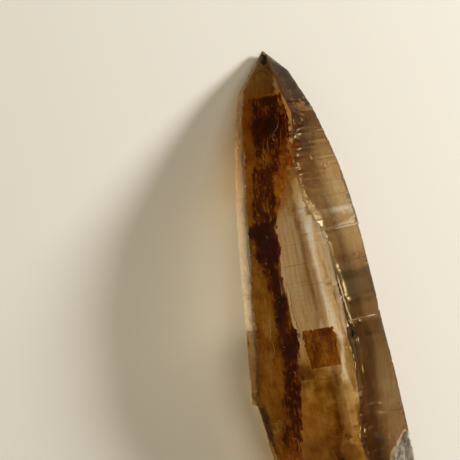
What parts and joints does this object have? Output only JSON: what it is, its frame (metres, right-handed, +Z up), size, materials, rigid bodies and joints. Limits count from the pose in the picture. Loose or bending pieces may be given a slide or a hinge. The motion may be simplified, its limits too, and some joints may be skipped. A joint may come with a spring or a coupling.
{
  "type": "quartz crystal",
  "caption": "Tapering six-sided quartz crystal with ladder-like growth ledges, a many-faced point and a broken base, lying on a flat contact face.",
  "frame": {"origin": "on the resting face, under the middle of the crystal's box", "axes": "+Y along the long axis towards the point, +Z up from the flat face that the crystal lies on, +X to the right when the point is seen away from the viewer"},
  "size_m": [0.0218, 0.0722, 0.0152],
  "materials": {
    "quartz": "clear golden-brown natural crystal faces, glossy with fine growth lines and iron stains"
  },
  "bodies": {
    "root": {"crystal": "quartz"}
  },
  "joints": []
}
